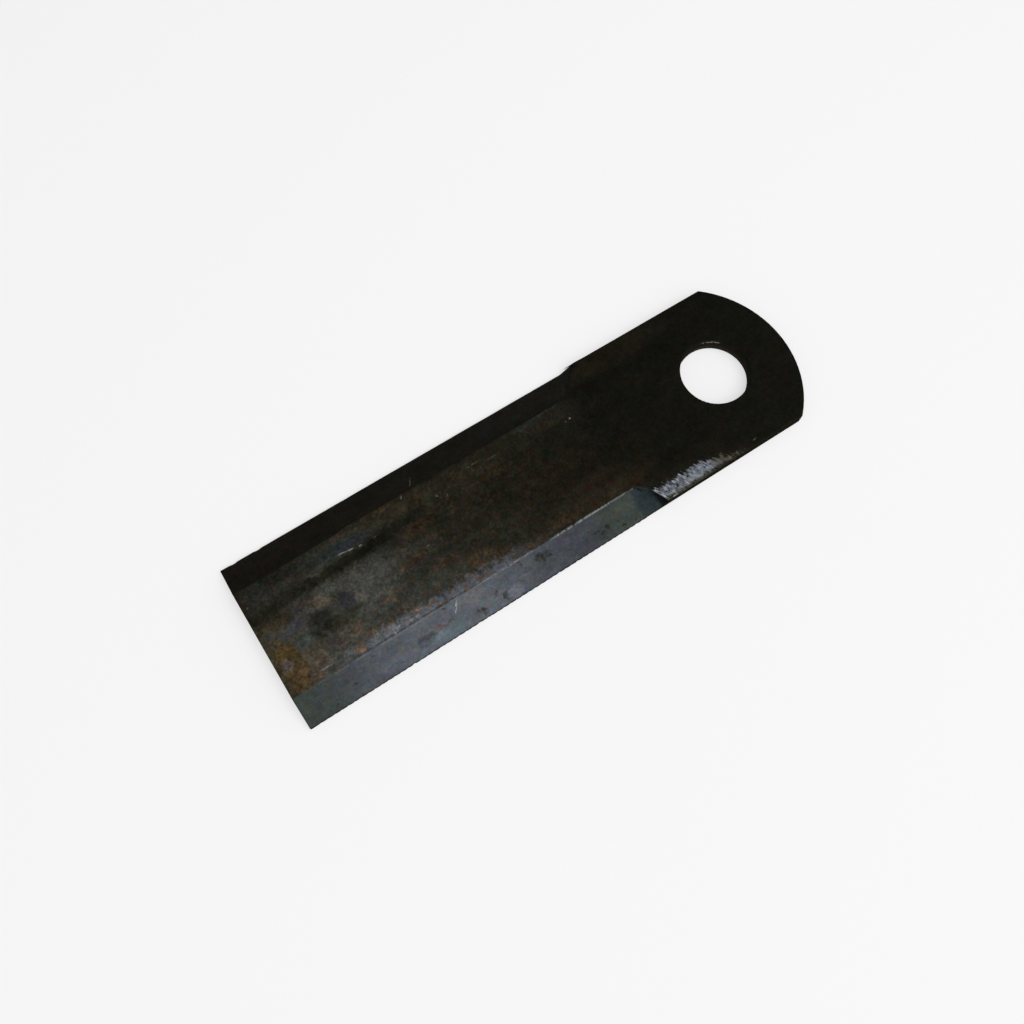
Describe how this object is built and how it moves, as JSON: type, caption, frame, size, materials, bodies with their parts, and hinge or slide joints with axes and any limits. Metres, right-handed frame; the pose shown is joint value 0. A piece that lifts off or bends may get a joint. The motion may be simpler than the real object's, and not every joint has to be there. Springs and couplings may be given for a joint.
{
  "type": "serrated chopper knife",
  "caption": "Flat steel straw-chopper knife with a bolt hole near its rounded end, ground bevels on both long edges and fine serration under the cutting edges.",
  "frame": {"origin": "centre of the bolt hole on the flat underside", "axes": "+X along the knife from the bolt hole to the square free end, +Z out of the ground side, cutting edges along +Y and -Y"},
  "size_m": [0.173, 0.05, 0.004],
  "materials": {
    "blade_steel": "dark rolled and hardened steel with brown rust specks; one ground bevel is blue-grey and the other tarnished brown"
  },
  "bodies": {
    "root": {"chopper_knife": "blade_steel"}
  },
  "joints": []
}
